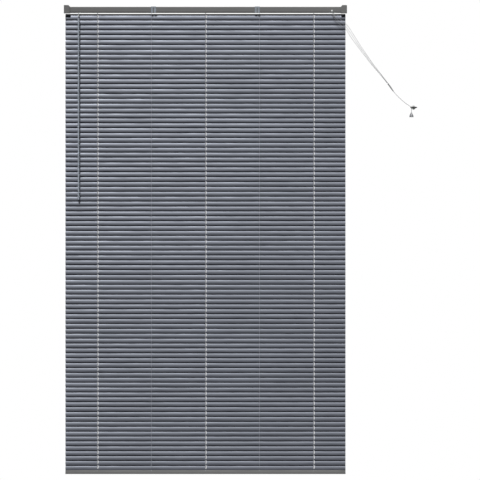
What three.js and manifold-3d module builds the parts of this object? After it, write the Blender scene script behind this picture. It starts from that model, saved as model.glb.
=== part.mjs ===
// Venetian blind with 25 mm aluminium slats, a tilt wand and a cord lock, in millimetres.
// +X runs to the right as seen from the room, +Y goes into the wall and +Z is up. The origin is on
// the wall plane, at mid-width, level with the top of the brackets. The slats are modelled closed.
import * as THREE from "three";
import { mergeVertices } from "three/addons/utils/BufferGeometryUtils.js";
import Module from "manifold-3d";

const wasm = await Module();
wasm.setup();

// Driving dimensions
const GAP = 0.3;
const CENTRE_Y = -14.5;
const CLOSED_TILT = THREE.MathUtils.degToRad(70);
const SLAT = { length: 1200, width: 25, thickness: 0.24, crownRadius: 62, routeLength: 16, routeWidth: 5 };
const FIRST_SLAT_Z = -49;
const PITCH = 20.97;
const GROUP_SIZES = [11, 11, 11, 12, 12, 12, 12, 12];
const MODELLED_SLAT = 5;
const LADDER_X = [-463, -231.5, 0, 231.5, 463];
// Each lift cord's place along the blind, just beside its ladder's rungs, and the depth at which it
// runs through the headrail.
const LIFT_CORDS = [["left", -461.4, -23], ["right", 464.6, -20.4], ["center", 1.6, -6.5]];
const LADDER = { radius: 0.5, frontY: -19.75, backY: -9.25, rungRadius: 0.4, rungOffset: 0.9 };
const HEADRAIL = { halfLength: 598, front: -27, back: -2, top: -7.5, bottom: -32.5, wall: 0.8, lip: 3.5 };
const BRACKET = { inner: 580, outer: 606, front: -30, top: 0, bottom: -34.2, wall: 1.4, chamfer: 6 };
const GATE = { front: -31.8, back: -30.4, top: -0.5, bottom: -35.6, lip: 1, lipBack: -27 };
const CLIP = { x: 222, halfWidth: 10.5, halfSlit: 2.2, thickness: 1.2 };
const ROD = { y: CENTRE_Y, z: -17.5, radius: 2.4, left: -556, right: 500, bore: 2.7 };
const DRUM = { halfLength: 6.5, flangeRadius: 6.3, grooveRadius: 5, halfGroove: 4.6 };
const CRADLE = { halfLength: 12, front: -24.5, back: -4.5, floor: -31.4, floorTop: -29.6, postTop: -14 };
const TILTER = { x: -543, halfWidth: 9, front: -25.8, back: -3.2, bottom: -31.4, top: -9.5, wall: 1.4 };
const WORM = { pivotY: -32.5, pivotZ: -43, lean: THREE.MathUtils.degToRad(50), threadStart: 24.5, end: 33 };
const HOOK = { ringRadius: 3.4, wireRadius: 0.7, foot: -55.7 };
const WAND = { top: -56, capBottom: -70, bottom: -832, radius: 3.75, capRadius: 4.6 };
const LOCK = { left: 528, right: 557, front: -25.8, back: -3.2, bottom: -31.4, top: -12, wall: 1.5 };
const ROLLER = { x: 541, z: -20.5, radius: 3, front: -22, back: -7 };
const RAIL = { z: -1996.6, halfLength: 597.4, capThickness: 2.4, wall: 1 };
// The ladder strings and lift cords stop this far above the middle of the bottom rail.
const CORD_END = 14.4;
const CORD_RADIUS = 0.7;
const PULL_CORD_RADIUS = 0.9;
const CORD_STRETCH = 240;
const CLEAT = { x: 892, z: -438, hornY: -18.5, hornRadius: 3, hornHalf: 16, postRadius: 4, plateRadius: 9 };

// Routes of the free cords, as they hang between the lock, the connector and the cleat.
const STRAND_ROUTES = [
  [
    [543, -23.5, -33.5], [543.2, -24.6, -35], [544, -27, -38], [546, -29.8, -42.5],
    [549.5, -31.4, -49], [556, -32.3, -61], [570, -32.6, -78.5], [597.5, -32.4, -100],
    [624, -32, -139.5], [651, -31.6, -176.5], [684, -31.2, -220], [712.5, -31, -256.5],
    [731, -31, -278], [748.3, -31, -298.3], [763, -31, -316.4], [778, -31, -334.8],
  ],
  [
    [546, -23.5, -33.5], [546.3, -24.6, -35], [547.3, -27, -38], [549.6, -29.8, -42.5],
    [553.5, -31.4, -48.5], [561, -32.3, -57.5], [577.5, -32.6, -72.5], [604, -32.4, -96],
    [629.5, -32, -134], [655.8, -31.6, -173], [687.5, -31.2, -217], [715, -31, -254.3],
    [733, -31, -276.3], [750, -31, -297], [764.4, -31, -315.2], [779.4, -31, -333.9],
  ],
  [
    [549, -23.5, -33.5], [549.4, -24.6, -35], [550.6, -27, -38], [553.2, -29.8, -42.3],
    [558, -31.4, -47.5], [567, -32.3, -54.5], [585, -32.6, -67.5], [610.5, -32.4, -92],
    [635, -32, -129], [660.5, -31.6, -169.5], [691, -31.2, -214], [717.5, -31, -252.2],
    [735, -31, -274.6], [751.7, -31, -295.7], [765.8, -31, -314], [780.8, -31, -333],
  ],
];
const CONNECTOR = { start: [780, -31, -335], end: [805, -31, -370], radius: 3 };
const PULL_ROUTE = [
  [805.3, -31, -370.4], [812, -30.9, -378.6], [821, -30.6, -388.4], [831, -30, -398.2],
  [841, -29, -407.2], [850.5, -27.8, -415], [859, -26.3, -421.6], [866.5, -24.4, -427],
  [872.4, -22.4, -431], [876.8, -20.1, -433.2], [880, -17.3, -433.6], [881.6, -14.8, -435.4],
  [882.3, -13.9, -439], [882.5, -13.8, -443.5], [882.5, -13.8, -451], [882.5, -13.8, -458],
];
const TASSEL = { top: -458.3, height: 21, radius: 9.2 };

const PAINT = { color: 0x6f7072, roughness: 0.42, metalness: 0.35 };
const SLAT_PAINT = { color: 0x8b8f97, roughness: 0.32, metalness: 0.45 };
const STEEL = { color: 0x9a9c9e, roughness: 0.35, metalness: 0.9 };
const NYLON = { color: 0xd8d9d8, roughness: 0.5, metalness: 0 };
const CLEAR = { color: 0xe6ecef, roughness: 0.15, metalness: 0 };
const CORD = { color: 0xc9cacb, roughness: 0.85, metalness: 0 };
const GREY_PLASTIC = { color: 0x77797b, roughness: 0.5, metalness: 0 };
const DARK_PLASTIC = { color: 0x3c3d3f, roughness: 0.45, metalness: 0 };

const blind = new THREE.Group();
blind.name = "venetian_blind";

// Geometry helpers
function positionsOnly(geometry) {
  const copy = geometry.index ? geometry.toNonIndexed() : geometry.clone();
  for (const name of Object.keys(copy.attributes)) {
    if (name !== "position") copy.deleteAttribute(name);
  }
  return mergeVertices(copy, 1e-4);
}

function signedVolume(geometry) {
  const position = geometry.getAttribute("position");
  const index = geometry.getIndex().array;
  const corners = [new THREE.Vector3(), new THREE.Vector3(), new THREE.Vector3()];
  let sum = 0;
  for (let i = 0; i < index.length; i += 3) {
    corners.forEach((corner, k) => corner.fromBufferAttribute(position, index[i + k]));
    sum += corners[0].dot(corners[1].cross(corners[2]));
  }
  return sum / 6;
}

function facingOut(geometry) {
  const merged = positionsOnly(geometry);
  if (signedVolume(merged) < 0) {
    const index = merged.getIndex().array;
    for (let i = 0; i < index.length; i += 3) {
      [index[i + 1], index[i + 2]] = [index[i + 2], index[i + 1]];
    }
  }
  return merged;
}

function toSolid(geometry) {
  const merged = facingOut(geometry);
  return new wasm.Manifold(new wasm.Mesh({
    numProp: 3,
    vertProperties: new Float32Array(merged.getAttribute("position").array),
    triVerts: new Uint32Array(merged.getIndex().array),
  }));
}

function toGeometry(solid) {
  const mesh = solid.getMesh();
  const geometry = new THREE.BufferGeometry();
  geometry.setAttribute("position", new THREE.BufferAttribute(mesh.vertProperties, 3));
  geometry.setIndex(new THREE.BufferAttribute(mesh.triVerts, 1));
  return geometry;
}

function join(...geometries) {
  const solids = geometries.map(toSolid);
  return toGeometry(solids.reduce((whole, next) => whole.add(next)));
}

function cut(body, ...tools) {
  return toGeometry(tools.map(toSolid).reduce((left, tool) => left.subtract(tool), toSolid(body)));
}

function block(x0, x1, y0, y1, z0, z1) {
  const geometry = new THREE.BoxGeometry(x1 - x0, y1 - y0, z1 - z0);
  return geometry.translate((x0 + x1) / 2, (y0 + y1) / 2, (z0 + z1) / 2);
}

// Extrudes an outline given as [y, z] points from x0 to x1.
function barAlongX(outline, x0, x1, holes = []) {
  const shape = new THREE.Shape(outline.map(([y, z]) => new THREE.Vector2(y, z)));
  for (const hole of holes) {
    shape.holes.push(new THREE.Path(hole.map(([y, z]) => new THREE.Vector2(y, z))));
  }
  const geometry = new THREE.ExtrudeGeometry(shape, { depth: x1 - x0, bevelEnabled: false });
  const toRow = new THREE.Matrix4().makeBasis(
    new THREE.Vector3(0, 1, 0),
    new THREE.Vector3(0, 0, 1),
    new THREE.Vector3(1, 0, 0),
  );
  return geometry.applyMatrix4(toRow).translate(x0, 0, 0);
}

function cylinderBetween(start, end, radius, sides) {
  const from = new THREE.Vector3(...start);
  const along = new THREE.Vector3(...end).sub(from);
  const geometry = new THREE.CylinderGeometry(radius, radius, along.length(), sides);
  const turn = new THREE.Quaternion().setFromUnitVectors(
    new THREE.Vector3(0, 1, 0),
    along.clone().normalize(),
  );
  return geometry.applyQuaternion(turn).translate(...from.addScaledVector(along, 0.5).toArray());
}

// Turns a [radius, distance] profile about the line from origin along direction.
function turned(profile, origin, direction, sides) {
  const points = profile.map(([radius, distance]) => new THREE.Vector2(radius, distance));
  const geometry = new THREE.LatheGeometry(points, sides);
  const turn = new THREE.Quaternion().setFromUnitVectors(
    new THREE.Vector3(0, 1, 0),
    new THREE.Vector3(...direction).normalize(),
  );
  return geometry.applyQuaternion(turn).translate(...origin);
}

// A curve whose rings fall exactly on the given points.
class RoutedCurve extends THREE.Curve {
  constructor(points) {
    super();
    this.points = points;
  }

  getPoint(t, target = new THREE.Vector3()) {
    const place = t * (this.points.length - 1);
    const i = Math.min(Math.floor(place), this.points.length - 2);
    return target.lerpVectors(this.points[i], this.points[i + 1], place - i);
  }

  getPointAt(u, target) {
    return this.getPoint(u, target);
  }

  getTangentAt(u, target = new THREE.Vector3()) {
    const i = Math.round(u * (this.points.length - 1));
    const before = this.points[Math.max(i - 1, 0)];
    const after = this.points[Math.min(i + 1, this.points.length - 1)];
    return target.subVectors(after, before).normalize();
  }
}

function circleShape(radius, sides) {
  const points = [];
  for (let i = 0; i < sides; i += 1) {
    const angle = (i / sides) * 2 * Math.PI;
    points.push(new THREE.Vector2(radius * Math.cos(angle), radius * Math.sin(angle)));
  }
  return new THREE.Shape(points);
}

function tubeAlong(curve, radius, sides, steps) {
  const options = { steps, bevelEnabled: false, extrudePath: curve };
  return new THREE.ExtrudeGeometry(circleShape(radius, sides), options);
}

function looseCord(route, radius, steps) {
  const curve = new THREE.CatmullRomCurve3(route.map((p) => new THREE.Vector3(...p)));
  return tubeAlong(curve, radius, 8, steps);
}

// Adds points between the route's last one and end, so that no stretch is longer than CORD_STRETCH.
function stretchTo(route, end) {
  const start = route[route.length - 1];
  const pieces = Math.ceil(start.distanceTo(end) / CORD_STRETCH);
  for (let i = 1; i <= pieces; i += 1) route.push(start.clone().lerp(end, i / pieces));
}

// Rounds the corners of a route, with bend points that keep a cord's turns even.
function roundedRoute(corners, radius, bendSteps) {
  const points = corners.map((p) => new THREE.Vector3(...p));
  const route = [points[0]];
  for (let i = 1; i < points.length - 1; i += 1) {
    const start = points[i].clone().lerp(points[i - 1], radius / points[i].distanceTo(points[i - 1]));
    const end = points[i].clone().lerp(points[i + 1], radius / points[i].distanceTo(points[i + 1]));
    const bend = new THREE.QuadraticBezierCurve3(start, points[i], end);
    stretchTo(route, start);
    route.push(...bend.getPoints(bendSteps).slice(1));
  }
  stretchTo(route, points[points.length - 1]);
  return new RoutedCurve(route);
}

function addNode(name, geometry, finish, parent = blind) {
  const mesh = new THREE.Mesh(facingOut(geometry), new THREE.MeshStandardMaterial(finish));
  mesh.name = name;
  parent.add(mesh);
  return mesh;
}

function mirroredX(geometry, side) {
  return side < 0 ? geometry.scale(-1, 1, 1) : geometry;
}

const SIDES = [["left", -1], ["right", 1]];

// Headrail, its end caps and its brackets
function headrailOutline() {
  const { front, back, top, bottom, wall, lip } = HEADRAIL;
  return [
    [front, bottom], [back, bottom], [back, top], [back - lip, top], [back - lip, top - wall],
    [back - wall, top - wall], [back - wall, bottom + wall], [front + wall, bottom + wall],
    [front + wall, top - wall], [front + lip, top - wall], [front + lip, top], [front, top],
  ];
}

function wormPoint(distance) {
  return [
    TILTER.x,
    WORM.pivotY + distance * Math.sin(WORM.lean),
    WORM.pivotZ + distance * Math.cos(WORM.lean),
  ];
}

function addHeadrail() {
  const { halfLength, front, back, top, bottom } = HEADRAIL;
  const channel = barAlongX(headrailOutline(), -halfLength, halfLength);
  const slots = LADDER_X.map((x) => block(x - 5, x + 5, -22, -7, bottom - 1, bottom + 1));
  slots.push(block(537, 555, -25.7, -20, bottom - 1, bottom + 1));
  slots.push(cylinderBetween(wormPoint(8), wormPoint(22), 3.4, 16));
  addNode("headrail", cut(channel, ...slots), PAINT);
  for (const [side, sign] of SIDES) {
    const cap = block(halfLength + GAP, halfLength + 2.5, front, back, bottom, top);
    addNode(`headrail_end_cap_${side}`, mirroredX(cap, sign), GREY_PLASTIC);
  }
}

function bracketOutline() {
  const { inner, outer, top, bottom, chamfer } = BRACKET;
  return [[inner, bottom], [outer, bottom], [outer, top], [inner + chamfer, top], [inner, top - chamfer]];
}

// Extrudes an outline given as [x, z] points from y0 to y1.
function plateAlongY(outline, y0, y1) {
  const shape = new THREE.Shape(outline.map(([x, z]) => new THREE.Vector2(x, z)));
  const geometry = new THREE.ExtrudeGeometry(shape, { depth: y1 - y0, bevelEnabled: false });
  return geometry.rotateX(Math.PI / 2).translate(0, y1, 0);
}

function addBrackets() {
  const { inner, outer, front, bottom, wall, top } = BRACKET;
  for (const [side, sign] of SIDES) {
    const shell = plateAlongY(bracketOutline(), front, 0);
    const room = block(inner - 1, outer - wall, front - 1, -wall, bottom + wall - 0.1, top - wall);
    const screwSlots = [inner + 9, outer - 8].map((x) => (
      cylinderBetween([x, -wall - 1, -17], [x, 1, -17], 2.2, 12)
    ));
    addNode(`bracket_${side}`, mirroredX(cut(shell, room, ...screwSlots), sign), PAINT);
    const lowest = GATE.bottom + GATE.lip;
    const outline = bracketOutline().map(([x, z]) => [
      x === inner ? x + 0.5 : Math.min(x, outer - 0.5),
      z === bottom ? lowest - 0.2 : z + GATE.top,
    ]);
    const plate = plateAlongY(outline, GATE.front, GATE.back);
    const lip = block(inner + 0.5, outer - 0.5, GATE.front, GATE.lipBack, GATE.bottom, lowest);
    addNode(`bracket_gate_${side}`, mirroredX(join(plate, lip), sign), PAINT);
  }
}

function addValanceClips() {
  const { x, halfWidth, halfSlit, thickness: t } = CLIP;
  const outerY = HEADRAIL.front - GAP - t;
  const topZ = HEADRAIL.top + GAP + t;
  const bottomZ = HEADRAIL.bottom - GAP - t;
  const hookY = HEADRAIL.front + HEADRAIL.lip + GAP;
  const outline = [
    [outerY, bottomZ], [-24, bottomZ], [-24, bottomZ + t], [outerY + t, bottomZ + t],
    [outerY + t, topZ - t], [hookY, topZ - t], [hookY, topZ - 3.4], [hookY + t, topZ - 3.4],
    [hookY + t, topZ], [outerY, topZ],
  ];
  for (const [side, sign] of SIDES) {
    const clip = barAlongX(outline, sign * x - halfWidth, sign * x + halfWidth);
    const slit = block(sign * x - halfSlit, sign * x + halfSlit, outerY - 1, -23, bottomZ - 1, topZ - 5);
    addNode(`valance_clip_${side}`, cut(clip, slit), CLEAR);
  }
}

// Tilt mechanism inside the headrail
function addTiltRod() {
  const rod = cylinderBetween([ROD.left, ROD.y, ROD.z], [ROD.right, ROD.y, ROD.z], ROD.radius, 6);
  addNode("tilt_rod", rod, STEEL);
}

function addCradle(x, number) {
  const { halfLength, front, back, floor, floorTop, postTop } = CRADLE;
  const base = block(x - halfLength, x + halfLength, front, back, floor, floorTop);
  const post = (x0, x1) => block(x0, x1, CENTRE_Y - 4, CENTRE_Y + 4, floorTop - 0.5, postTop);
  const body = join(base, post(x - 11, x - 8), post(x + 8, x + 11));
  const seat = cylinderBetween([x - 20, ROD.y, ROD.z], [x + 20, ROD.y, ROD.z], ROD.radius + 0.4, 16);
  const mouth = block(x - 20, x + 20, CENTRE_Y - 2.3, CENTRE_Y + 2.3, ROD.z, postTop + 1);
  const cordHole = block(x - 4, x + 4, -21.5, -7.5, floor - 1, floorTop + 1);
  addNode(`cradle_${number}`, cut(body, seat, mouth, cordHole), NYLON);
}

function addDrum(x, number) {
  const { halfLength, flangeRadius, grooveRadius, halfGroove } = DRUM;
  const profile = [
    [ROD.bore, -halfLength], [flangeRadius, -halfLength], [flangeRadius, -halfGroove - 0.6],
    [grooveRadius, -halfGroove], [grooveRadius, halfGroove], [flangeRadius, halfGroove + 0.6],
    [flangeRadius, halfLength], [ROD.bore, halfLength], [ROD.bore, -halfLength],
  ];
  addNode(`ladder_drum_${number}`, turned(profile, [x, ROD.y, ROD.z], [1, 0, 0], 24), NYLON);
}

function gearOutline(teeth, root, tip) {
  const points = [];
  for (let i = 0; i < teeth * 4; i += 1) {
    const angle = ((i + 0.5) / (teeth * 4)) * 2 * Math.PI;
    const radius = i % 4 < 2 ? tip : root;
    points.push([ROD.y + radius * Math.cos(angle), ROD.z + radius * Math.sin(angle)]);
  }
  return points;
}

function addTilter() {
  const { x, halfWidth, front, back, bottom, top, wall } = TILTER;
  const box = block(x - halfWidth, x + halfWidth, front, back, bottom, top);
  const floor = bottom + 1.2;
  const room = block(x - halfWidth + 2, x + halfWidth - 2, front + wall, back - wall, floor, top + 1);
  const rodHole = cylinderBetween([x - 20, ROD.y, ROD.z], [x + 20, ROD.y, ROD.z], ROD.radius + 0.4, 16);
  const stemHole = cylinderBetween(wormPoint(10), wormPoint(25), 3.2, 16);
  addNode("tilter_housing", cut(box, room, rodHole, stemHole), NYLON);

  const teeth = barAlongX(gearOutline(20, 4, 4.7), x - 4.5, x + 4.5);
  const bore = cylinderBetween([x - 9, ROD.y, ROD.z], [x + 9, ROD.y, ROD.z], ROD.bore, 16);
  addNode("worm_gear", cut(teeth, bore), NYLON);
}

function addWorm() {
  const { threadStart, end } = WORM;
  const ball = [[0, -8], [1.6, -7.55], [2.65, -6.4], [3, -5], [2.65, -3.6], [1.2, -2.8]];
  const stem = [[1.2, 3.6], [2.4, 4.6], [2.4, threadStart - 1], [1.9, threadStart]];
  const thread = [];
  for (let at = threadStart + 0.4; at < end - 1.6; at += 1.6) {
    thread.push([1.9, at], [2.8, at + 0.4], [2.8, at + 0.8], [1.9, at + 1.2]);
  }
  const profile = [...ball, ...stem, ...thread, [1.9, end], [0, end]];
  const direction = [0, Math.sin(WORM.lean), Math.cos(WORM.lean)];
  addNode("worm_shaft", turned(profile, wormPoint(0), direction, 16), NYLON);
}

// Wire hook round the neck of the worm shaft, and the wand that hangs from it
function addWand() {
  const { ringRadius, wireRadius, foot } = HOOK;
  const ring = new THREE.TorusGeometry(ringRadius, wireRadius, 8, 24);
  ring.rotateX(-WORM.lean).translate(TILTER.x, WORM.pivotY, WORM.pivotZ);
  const backY = WORM.pivotY + ringRadius * Math.cos(WORM.lean);
  const backZ = WORM.pivotZ - ringRadius * Math.sin(WORM.lean);
  const corners = [
    [TILTER.x, backY, backZ], [TILTER.x, backY + 0.3, -50],
    [TILTER.x, WORM.pivotY, -53.4], [TILTER.x, WORM.pivotY, foot],
  ];
  const stem = roundedRoute(corners, 1.1, 3);
  addNode("wand_hook", join(ring, tubeAlong(stem, wireRadius, 8, stem.points.length - 1)), STEEL);

  const { top, capBottom, bottom, radius, capRadius } = WAND;
  const capProfile = [
    [0, capBottom], [capRadius, capBottom], [capRadius, top - 4], [capRadius - 1.2, top - 1.2],
    [2.4, top], [0, top],
  ];
  addNode("wand_cap", turned(capProfile, [TILTER.x, WORM.pivotY, 0], [0, 0, 1], 16), CLEAR);
  const rodProfile = [
    [0, bottom], [radius - 1, bottom + 0.6], [radius, bottom + 2.5], [radius, capBottom - GAP],
    [0, capBottom - GAP],
  ];
  addNode("tilt_wand", turned(rodProfile, [TILTER.x, WORM.pivotY, 0], [0, 0, 1], 12), CLEAR);
}

// Cord lock and the lift cords
function addCordLock() {
  const { left, right, front, back, bottom, top, wall } = LOCK;
  const box = block(left, right, front, back, bottom, top);
  const room = block(left + wall, right - wall, front + wall, back - wall, bottom + wall, top + 1);
  const entry = block(left - 1, left + wall + 1, -24, -5, -29.4, -24.6);
  const exit = block(538, 554, -25.3, -20.5, bottom - 1, bottom + wall + 1);
  addNode("cord_lock_body", cut(box, room, entry, exit), NYLON);
  const { x, z, radius, front: y0, back: y1 } = ROLLER;
  addNode("cord_lock_roller", cylinderBetween([x, y0, z], [x, y1, z], radius, 16), STEEL);
}

function addLiftCords() {
  LIFT_CORDS.forEach(([name, x, runY], i) => {
    const exitX = STRAND_ROUTES[i][0][0];
    const turnZ = -27.6;
    const corners = [
      [x, CENTRE_Y, RAIL.z + CORD_END], [x, CENTRE_Y, turnZ], [x + 5, runY, turnZ],
      [exitX - 4, runY, turnZ], [exitX, -23.5, turnZ], [exitX, -23.5, STRAND_ROUTES[i][0][2] + GAP],
    ];
    const route = roundedRoute(corners, 3, 3);
    addNode(`lift_cord_${name}`, tubeAlong(route, CORD_RADIUS, 8, route.points.length - 1), CORD);
  });
}

function addPullCords() {
  STRAND_ROUTES.forEach((route, i) => {
    addNode(`pull_strand_${i + 1}`, looseCord(route, CORD_RADIUS, 80), CORD);
  });
  const { start, end, radius } = CONNECTOR;
  const along = new THREE.Vector3(...end).sub(new THREE.Vector3(...start));
  const length = along.length();
  const profile = [
    [0, 0.9], [radius, 0.9], [radius, length * 0.55], [radius - 0.9, length - 4], [1.6, length - GAP],
    [0, length - GAP],
  ];
  addNode("cord_connector", turned(profile, start, along.toArray(), 16), GREY_PLASTIC);
  addNode("pull_cord", looseCord(PULL_ROUTE, PULL_CORD_RADIUS, 56), CORD);
  const [x, y] = PULL_ROUTE[PULL_ROUTE.length - 1];
  const { top, height, radius: widest } = TASSEL;
  const bell = [
    [0, top - height], [widest - 1.4, top - height], [widest, top - height + 1.6],
    [widest - 1.2, top - height + 7], [widest - 3.6, top - 8], [3.4, top - 3.2], [2.2, top], [0, top],
  ];
  addNode("cord_tassel", turned(bell, [x, y, 0], [0, 0, 1], 20), CLEAR);
}

function addCleat() {
  const { x, z, hornY, hornRadius, hornHalf, postRadius, plateRadius } = CLEAT;
  const plate = cylinderBetween([x, -3, z], [x, 0, z], plateRadius, 24);
  const post = cylinderBetween([x, hornY, z], [x, -2, z], postRadius, 16);
  const horn = new THREE.CapsuleGeometry(hornRadius, 2 * (hornHalf - hornRadius), 4, 12);
  horn.rotateZ(Math.PI / 2).translate(x, hornY, z);
  addNode("cord_cleat", join(plate, post, horn), DARK_PLASTIC);
}

// Slats and the centre ladder segments that carry them
function slatOutline() {
  const { width, thickness, crownRadius } = SLAT;
  const half = Math.asin(width / 2 / crownRadius);
  const drop = crownRadius * Math.cos(half);
  const steps = 10;
  const arc = (radius) => Array.from({ length: steps + 1 }, (_, i) => {
    const angle = half * (1 - (2 * i) / steps);
    return [radius * Math.sin(angle), radius * Math.cos(angle) - drop];
  });
  return [...arc(crownRadius + thickness / 2), ...arc(crownRadius - thickness / 2).reverse()];
}

function slatZ(number) {
  return FIRST_SLAT_Z - PITCH * number;
}

function closedGroup(z) {
  const group = new THREE.Group();
  group.position.set(0, CENTRE_Y, z);
  group.rotation.x = CLOSED_TILT;
  blind.add(group);
  return group;
}

function addSlat(index, number) {
  const { length, routeLength, routeWidth } = SLAT;
  const strip = barAlongX(slatOutline(), -length / 2, length / 2);
  const routes = LIFT_CORDS.map(([, x]) => (
    block(x - routeWidth / 2, x + routeWidth / 2, -routeLength / 2, routeLength / 2, -3, 6)
  ));
  addNode(`slat_${index}`, cut(strip, ...routes), SLAT_PAINT, closedGroup(slatZ(number)));
}

function addLadderSegment(index, number, top, bottom) {
  const { radius, frontY, backY, rungRadius, rungOffset } = LADDER;
  const string = (y) => cylinderBetween([0, y, bottom], [0, y, top], radius, 6);
  const slope = Math.tan(CLOSED_TILT);
  const lineY = CENTRE_Y + rungOffset * Math.sin(CLOSED_TILT);
  const lineZ = slatZ(number) - rungOffset * Math.cos(CLOSED_TILT);
  const rungEnd = (y) => [0, y, lineZ + (y - lineY) * slope];
  const rung = cylinderBetween(rungEnd(frontY), rungEnd(backY), rungRadius, 6);
  addNode(`ladder_segment_${index}`, join(string(frontY), string(backY), rung), CORD);
}

function addSlats() {
  let first = 0;
  GROUP_SIZES.forEach((size, i) => {
    const number = first + MODELLED_SLAT;
    addSlat(i + 1, number);
    const top = i === 0 ? -24.5 : slatZ(first - 0.5) - GAP;
    const last = i === GROUP_SIZES.length - 1;
    const bottom = last ? RAIL.z + CORD_END : slatZ(first + size - 0.5);
    addLadderSegment(i + 1, number, top, bottom);
    first += size;
  });
}

// Bottom rail, its end caps and the plugs that hold the lift cords
function railOutline(inset) {
  const crown = Array.from({ length: 7 }, (_, i) => {
    const share = 1 - i / 3;
    return [(12.5 - inset) * share, 5 - inset - 2.6 * share * share];
  });
  return [
    [-12.5 + inset, 0.6], [-11 + inset, -4 + inset / 2], [-9.4 + inset / 2, -5 + inset],
    [9.4 - inset / 2, -5 + inset], [11 - inset, -4 + inset / 2], [12.5 - inset, 0.6], ...crown,
  ];
}

function addBottomRail() {
  const { z, halfLength, capThickness, wall } = RAIL;
  const group = closedGroup(z);
  const tube = barAlongX(railOutline(0), -halfLength, halfLength, [railOutline(wall)]);
  addNode("bottom_rail", tube, PAINT, group);
  for (const [side, sign] of SIDES) {
    const cap = barAlongX(railOutline(0), halfLength + 0.2, halfLength + 0.2 + capThickness);
    addNode(`bottom_rail_cap_${side}`, mirroredX(cap, sign), GREY_PLASTIC, group);
  }
  LIFT_CORDS.forEach(([name, x]) => {
    const profile = [[0, -8.2], [5.4, -8.2], [7, -7], [7, -5.3], [0, -5.3]];
    addNode(`cord_plug_${name}`, turned(profile, [x, 0, 0], [0, 0, 1], 20), GREY_PLASTIC, group);
  });
}

addHeadrail();
addBrackets();
addValanceClips();
addTiltRod();
LADDER_X.forEach((x, i) => addCradle(x, i + 1));
LADDER_X.forEach((x, i) => addDrum(x, i + 1));
addTilter();
addWorm();
addWand();
addCordLock();
addLiftCords();
addPullCords();
addCleat();
addSlats();
addBottomRail();

export default blind;
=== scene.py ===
"""Venetian blind with 25 mm slats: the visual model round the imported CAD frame.

Lengths are millimetres where no comment says metres. +X is to the right as seen from the room, +Y goes
into the wall, and z is 0 at the top of the brackets.
"""
import math
import random

import bmesh
import bpy
import numpy as np
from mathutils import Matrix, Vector


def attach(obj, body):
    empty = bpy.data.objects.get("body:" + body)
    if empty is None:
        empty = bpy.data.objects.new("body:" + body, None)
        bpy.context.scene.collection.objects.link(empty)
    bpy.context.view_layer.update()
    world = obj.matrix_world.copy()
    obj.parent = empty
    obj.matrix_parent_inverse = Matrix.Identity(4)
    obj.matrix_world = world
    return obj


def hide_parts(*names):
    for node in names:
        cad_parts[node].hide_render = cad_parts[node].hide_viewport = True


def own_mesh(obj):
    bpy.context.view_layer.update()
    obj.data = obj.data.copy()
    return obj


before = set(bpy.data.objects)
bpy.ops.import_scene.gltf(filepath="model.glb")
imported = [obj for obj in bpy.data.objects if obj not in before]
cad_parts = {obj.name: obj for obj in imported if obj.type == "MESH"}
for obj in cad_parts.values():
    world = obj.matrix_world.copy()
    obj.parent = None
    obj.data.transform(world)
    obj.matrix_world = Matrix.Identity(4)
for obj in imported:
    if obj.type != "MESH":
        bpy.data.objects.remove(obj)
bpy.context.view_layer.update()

MM = 0.001
SIDES = ("left", "right")
rng = random.Random(11)

# The slats are closed, front edge down, and tilt and travel in eight groups. MODELLED_SLAT is the one
# of each group that is a CAD node, counted from 0.
CENTRE_Y = -14.5
TILT = math.radians(70)
FIRST_SLAT_Z = -49
PITCH = 20.97
GROUP_SIZES = (11, 11, 11, 12, 12, 12, 12, 12)
MODELLED_SLAT = 5
SLAT_END = 600
SLAT_HALF = 12.5
SLAT_HALF_THICKNESS = 0.12
CROWN_RADIUS = 62

# Each lift cord has its name, its x, the y of its run along the headrail, and the x where it leaves
# the lock. CORD_END is how far above the bottom rail's middle the cords and ladder strings stop.
LADDER_X = (-463, -231.5, 0, 231.5, 463)
LADDER_FRONT, LADDER_BACK = -19.75, -9.25
LIFT_CORDS = (("left", -461.4, -23, 543), ("right", 464.6, -20.4, 546), ("center", 1.6, -6.5, 549))
LOCK_EXIT_Y = -23.5
RUN_Z = -27.6
RAIL_Z = -1996.6
CORD_END = 14.4

# The line of the wand, and the worm shaft's tilt towards the room
WAND_X, WAND_Y, WORM_Z = -543, -32.5, -43
WORM_LEAN = math.radians(50)
WORM_AXIS = (0, math.sin(WORM_LEAN), math.cos(WORM_LEAN))


# ---------------------------------------------------------------- camera
def make_camera():
    """A straight front view from 16 m away, in metres."""
    distance, width, sensor = 16.0, 2.0558, 36
    data = bpy.data.cameras.new("camera")
    data.sensor_width = sensor
    data.lens = sensor * distance / width
    data.clip_end = 50
    camera = bpy.data.objects.new("camera", data)
    camera.location = (0.148, -0.02 - distance, -1.0057)
    camera.rotation_euler = (math.radians(90), 0, 0)
    bpy.context.scene.collection.objects.link(camera)
    bpy.context.scene.camera = camera


make_camera()


# ---------------------------------------------------------------- materials
MIX_FIRST, MIX_SECOND, MIX_RESULT = 6, 7, 2  # a Mix node's colour sockets, which share their names


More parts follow.
